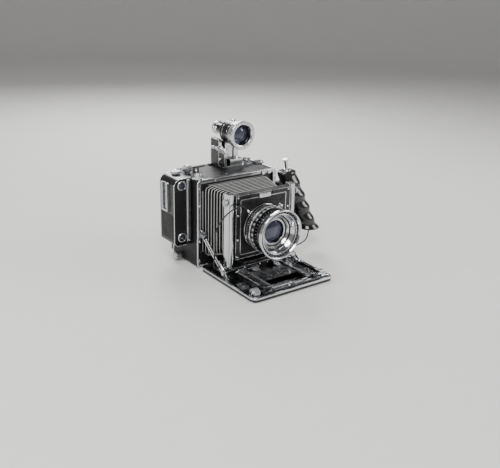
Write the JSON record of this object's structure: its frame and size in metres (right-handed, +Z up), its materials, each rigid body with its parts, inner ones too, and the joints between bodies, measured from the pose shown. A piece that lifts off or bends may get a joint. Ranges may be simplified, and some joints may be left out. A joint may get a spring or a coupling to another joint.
{
  "type": "folding technical camera",
  "caption": "Folding technical view camera, opened: leather-covered body, bellows, lens standard on a focusing bed, zoom finder, rangefinder and hand grip.",
  "frame": {"origin": "mouth of the tripod socket in the middle of the body's base", "axes": "+Z up, -Y towards the subject (out of the lens), +X to the hand grip's side"},
  "size_m": [0.3004, 0.279, 0.2565],
  "materials": {
    "leather": "fine-grained black leather covering",
    "chrome": "polished chrome plate",
    "bright_alloy": "satin-milled alloy",
    "black_lacquer": "semi-gloss black lacquer",
    "grip_plastic": "moulded gloss plastic",
    "bellows_leather": "pleated leather",
    "brass": "turned brass",
    "lens_glass": "coated optical glass",
    "screen_glass": "ground glass",
    "blade_steel": "blued steel",
    "cable_cover": "woven cable cover",
    "lock_white": "satin steel"
  },
  "bodies": {
    "camera_body": {"body_shell": "leather", "front_trim": "chrome", "rear_trim": "chrome", "tripod_bush": "brass", "inner_track": "bright_alloy", "bellows_frame": "black_lacquer", "body_hinge": "chrome", "rf_housing": "leather", "rf_trim": "chrome", "rf_windows": "lens_glass", "accessory_shoe": "chrome", "strap_lugs": "chrome", "body_fittings": "chrome", "finder_foot": "bright_alloy", "finder_bracket": "black_lacquer", "finder_barrel": "black_lacquer", "finder_lens": "lens_glass", "finder_eyepiece": "black_lacquer", "grip_bracket": "black_lacquer", "grip_body": "grip_plastic", "release_cable": "cable_cover", "bellows": "bellows_leather"},
    "bed": {"bed_plate": "leather", "bed_rim": "chrome", "bed_guides": "black_lacquer", "scale_plate": "bright_alloy", "bed_pins": "chrome"},
    "struts": {"strut_left": "chrome", "strut_right": "chrome"},
    "focus_drive": {"pinion_shaft": "chrome", "focus_knob_left": "chrome", "focus_knob_right": "chrome"},
    "focus_lock": {"focus_lock": "lock_white"},
    "carriage": {"carriage_rails": "bright_alloy", "carriage_plate": "black_lacquer", "standard_base": "black_lacquer", "standard_columns": "chrome", "standard_clamps": "chrome"},
    "rise_knob": {"rise_knob": "chrome"},
    "rise_lock": {"rise_lock": "chrome"},
    "lens_panel": {"lens_frame": "black_lacquer", "lens_board": "black_lacquer", "shutter_body": "black_lacquer", "aperture_blades": "blade_steel", "lens_barrel": "black_lacquer", "front_glass": "lens_glass", "rear_barrel": "black_lacquer", "cable_ferrule": "chrome"},
    "board_latch": {"board_latch": "chrome"},
    "aperture_ring": {"aperture_ring": "black_lacquer"},
    "speed_ring": {"speed_ring": "black_lacquer"},
    "cocking_lever": {"cocking_lever": "black_lacquer"},
    "finder_ring": {"finder_ring": "chrome"},
    "lock_knob_top": {"lock_knob_top": "chrome"},
    "lock_knob_side": {"lock_knob_side": "chrome"},
    "rf_wheel": {"rf_wheel": "chrome"},
    "grip_plunger": {"grip_plunger": "chrome"},
    "back": {"back_frame": "black_lacquer", "focus_screen": "screen_glass"},
    "hood_lid": {"hood_lid": "black_lacquer"}
  },
  "joints": [
    {"name": "bed_drop", "type": "hinge", "parent": "camera_body", "child": "bed", "pos_m": [0, -0.0495, 0.005], "axis": [1, 0, 0], "range_deg": [0, 15], "deforming": ["bellows", "release_cable"]},
    {"name": "strut_swing", "type": "hinge", "parent": "camera_body", "child": "struts", "pos_m": [0, -0.0515, 0.066], "axis": [1, 0, 0], "range_deg": [0, 8.6]},
    {"name": "focus", "type": "slide", "parent": "bed", "child": "carriage", "axis": [0, -1, 0], "range_m": [-0.01, 0.025], "deforming": ["bellows", "release_cable"]},
    {"name": "focus_turn", "type": "hinge", "parent": "bed", "child": "focus_drive", "pos_m": [0, -0.2, 0.0098], "axis": [1, 0, 0], "range_deg": [-477.6, 191.1]},
    {"name": "focus_clamp", "type": "hinge", "parent": "bed", "child": "focus_lock", "pos_m": [0.007, -0.2097, 0.0139], "axis": [0, 0, 1], "range_deg": [-40, 0]},
    {"name": "rise", "type": "slide", "parent": "carriage", "child": "lens_panel", "axis": [0, 0, 1], "range_m": [-0.0045, 0.03], "deforming": ["bellows", "release_cable"]},
    {"name": "rise_turn", "type": "hinge", "parent": "carriage", "child": "rise_knob", "pos_m": [-0.074, -0.115, 0.143], "axis": [1, 0, 0], "range_deg": [-42.98, 286.5]},
    {"name": "rise_lock_turn", "type": "hinge", "parent": "carriage", "child": "rise_lock", "pos_m": [0.074, -0.115, 0.143], "axis": [1, 0, 0], "range_deg": [0, 90]},
    {"name": "board_latch_slide", "type": "slide", "parent": "lens_panel", "child": "board_latch", "axis": [0, 0, 1], "range_m": [0, 0.005]},
    {"name": "aperture_set", "type": "hinge", "parent": "lens_panel", "child": "aperture_ring", "pos_m": [0, -0.132, 0.0896], "axis": [0, 1, 0], "range_deg": [0, 60]},
    {"name": "speed_set", "type": "hinge", "parent": "lens_panel", "child": "speed_ring", "pos_m": [0, -0.147, 0.0896], "axis": [0, 1, 0], "range_deg": [0, 120]},
    {"name": "shutter_cock", "type": "hinge", "parent": "lens_panel", "child": "cocking_lever", "pos_m": [0, -0.138, 0.0896], "axis": [0, 1, 0], "range_deg": [0, 40]},
    {"name": "finder_zoom", "type": "hinge", "parent": "camera_body", "child": "finder_ring", "pos_m": [0.023, -0.018, 0.23], "axis": [0, 1, 0], "range_deg": [0, 90]},
    {"name": "top_lock_turn", "type": "hinge", "parent": "camera_body", "child": "lock_knob_top", "pos_m": [-0.076, 0.007, 0.17], "axis": [0, 0, 1], "range_deg": [0, 180]},
    {"name": "side_lock_turn", "type": "hinge", "parent": "camera_body", "child": "lock_knob_side", "pos_m": [-0.095, 0.012, 0.01], "axis": [1, 0, 0], "range_deg": [0, 180]},
    {"name": "finder_wheel_turn", "type": "hinge", "parent": "camera_body", "child": "rf_wheel", "pos_m": [-0.1, 0.006, 0.171], "axis": [0, 0, 1], "range_deg": [0, 180]},
    {"name": "release_press", "type": "slide", "parent": "camera_body", "child": "grip_plunger", "axis": [0.2079, 0, -0.9781], "range_m": [0, 0.006], "stiffness_N_per_m": 300, "springref_m": -0.002},
    {"name": "back_slide", "type": "slide", "parent": "camera_body", "child": "back", "axis": [0, 1, 0], "range_m": [0, 0.03]},
    {"name": "hood_open", "type": "hinge", "parent": "back", "child": "hood_lid", "pos_m": [0, 0.0553, 0.1382], "axis": [1, 0, 0], "range_deg": [0, 100]}
  ],
  "couplings": [
    {"joint": "strut_swing", "follows": "bed_drop", "ratio": 0.569},
    {"joint": "focus_turn", "follows": "focus", "rad_per_m": -333.33},
    {"joint": "rise_turn", "follows": "rise", "rad_per_m": 166.67}
  ]
}
